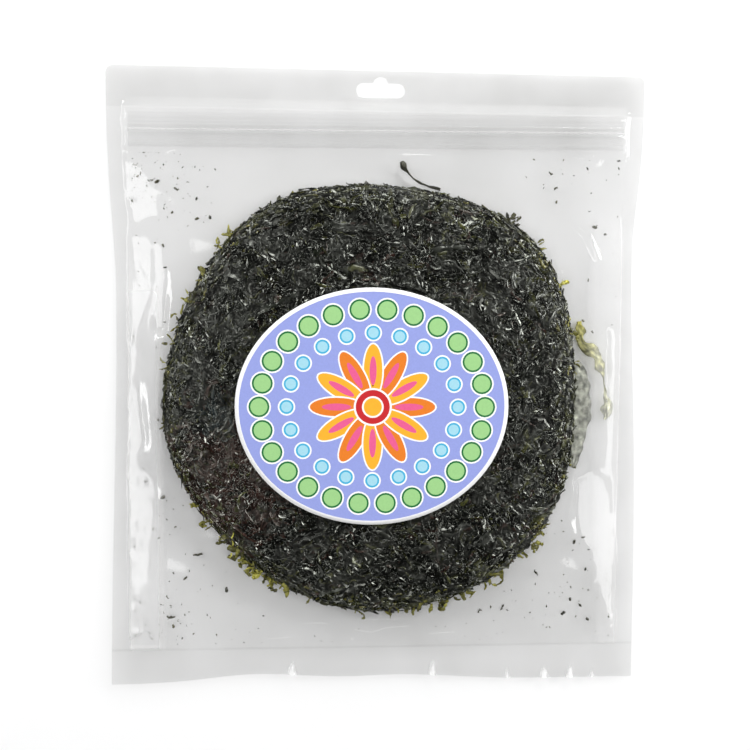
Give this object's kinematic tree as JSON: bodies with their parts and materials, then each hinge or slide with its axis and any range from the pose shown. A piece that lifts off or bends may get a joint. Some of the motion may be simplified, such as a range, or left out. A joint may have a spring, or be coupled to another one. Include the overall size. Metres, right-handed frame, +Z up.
{
  "type": "bag of dried laver",
  "caption": "Round pressed cake of dried laver sealed in a flat clear zip bag that has a hang slot and an oval paper label.",
  "frame": {"origin": "under the middle of the bag, on the surface that it lies on", "axes": "+Z up through the bag's front, +Y towards the zip and the hang slot, +X to the right as the front is seen"},
  "size_m": [0.2999, 0.345, 0.0195],
  "materials": {
    "clear_film": "clear glossy film, slightly hazy",
    "zip_plastic": "milky translucent, ribbed",
    "dark_laver": "crinkled, satin, green-black",
    "olive_laver": "crinkled, satin, olive",
    "pale_laver": "thin, papery, pale grey-green",
    "label_paper": "printed and varnished, satin"
  },
  "bodies": {
    "root": {"back_film": "clear_film", "front_film": "clear_film", "zip_groove": "zip_plastic", "zip_tongue": "zip_plastic", "laver_cake": "dark_laver", "trailing_frond": "olive_laver", "pale_frond": "pale_laver", "stray_sprig": "dark_laver", "loose_flake_01": "dark_laver", "loose_flake_02": "dark_laver", "loose_flake_03": "dark_laver", "loose_flake_04": "dark_laver", "loose_flake_05": "dark_laver", "loose_flake_06": "dark_laver", "loose_flake_07": "dark_laver", "loose_flake_08": "dark_laver", "loose_flake_09": "dark_laver", "loose_flake_10": "dark_laver", "loose_flake_11": "dark_laver", "loose_flake_12": "dark_laver", "loose_flake_13": "dark_laver", "loose_flake_14": "dark_laver", "loose_flake_15": "dark_laver", "loose_flake_16": "dark_laver", "label": "label_paper"}
  },
  "joints": []
}
